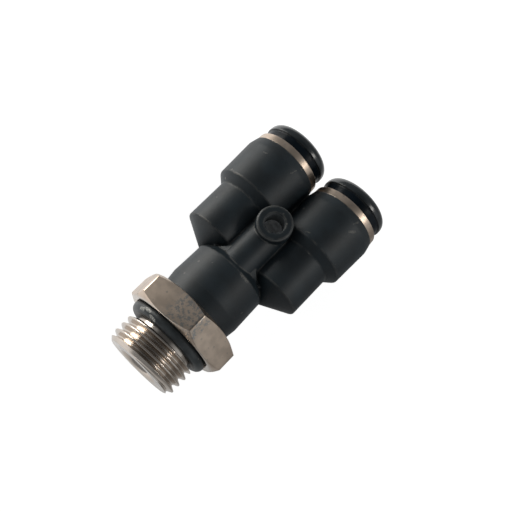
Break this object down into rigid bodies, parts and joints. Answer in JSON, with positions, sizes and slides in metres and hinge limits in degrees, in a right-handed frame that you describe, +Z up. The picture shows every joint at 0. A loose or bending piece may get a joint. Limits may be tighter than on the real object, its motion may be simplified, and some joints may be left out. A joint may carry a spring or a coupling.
{
  "type": "push-in tube y connector",
  "caption": "Black male Y push-in fitting for air tube: swivelling hexagon stud with pipe thread and face seal, and parallel tube sockets with release sleeves.",
  "frame": {"origin": "centre of the hexagon's sealing face, on the stud's axis", "axes": "+Y from the thread to the tube mouths, +X across the two sockets, +Z up through the boss"},
  "size_m": [0.0266, 0.0453, 0.019],
  "materials": {
    "body_resin": "satin moulded resin",
    "nickel_brass": "nickel plated, turned and milled",
    "nitrile_rubber": "smooth rubber",
    "spring_steel": "stamped stainless",
    "natural_resin": "natural acetal",
    "collar_metal": "satin nickel plated",
    "sleeve_resin": "semi-gloss acetal"
  },
  "bodies": {
    "fitting": {"y_body": "body_resin", "tube_seal_a": "nitrile_rubber", "backing_ring_a": "natural_resin", "grab_ring_a": "spring_steel", "guide_ring_a": "natural_resin", "metal_collar_a": "collar_metal", "tube_seal_b": "nitrile_rubber", "backing_ring_b": "natural_resin", "grab_ring_b": "spring_steel", "guide_ring_b": "natural_resin", "metal_collar_b": "collar_metal"},
    "stud": {"male_stud": "nickel_brass", "face_seal": "nitrile_rubber", "stem_seal": "nitrile_rubber", "snap_ring": "spring_steel"},
    "sleeve_a": {"release_sleeve_a": "sleeve_resin"},
    "sleeve_b": {"release_sleeve_b": "sleeve_resin"}
  },
  "joints": [
    {"name": "stud_swivel", "type": "hinge", "parent": "fitting", "child": "stud", "pos_m": [0, 0, 0], "axis": [0, 1, 0], "continuous": true},
    {"name": "sleeve_press_a", "type": "slide", "parent": "fitting", "child": "sleeve_a", "axis": [0, -1, 0], "range_m": [0, 0.0012], "stiffness_N_per_m": 200},
    {"name": "sleeve_press_b", "type": "slide", "parent": "fitting", "child": "sleeve_b", "axis": [0, -1, 0], "range_m": [0, 0.0012], "stiffness_N_per_m": 200}
  ]
}
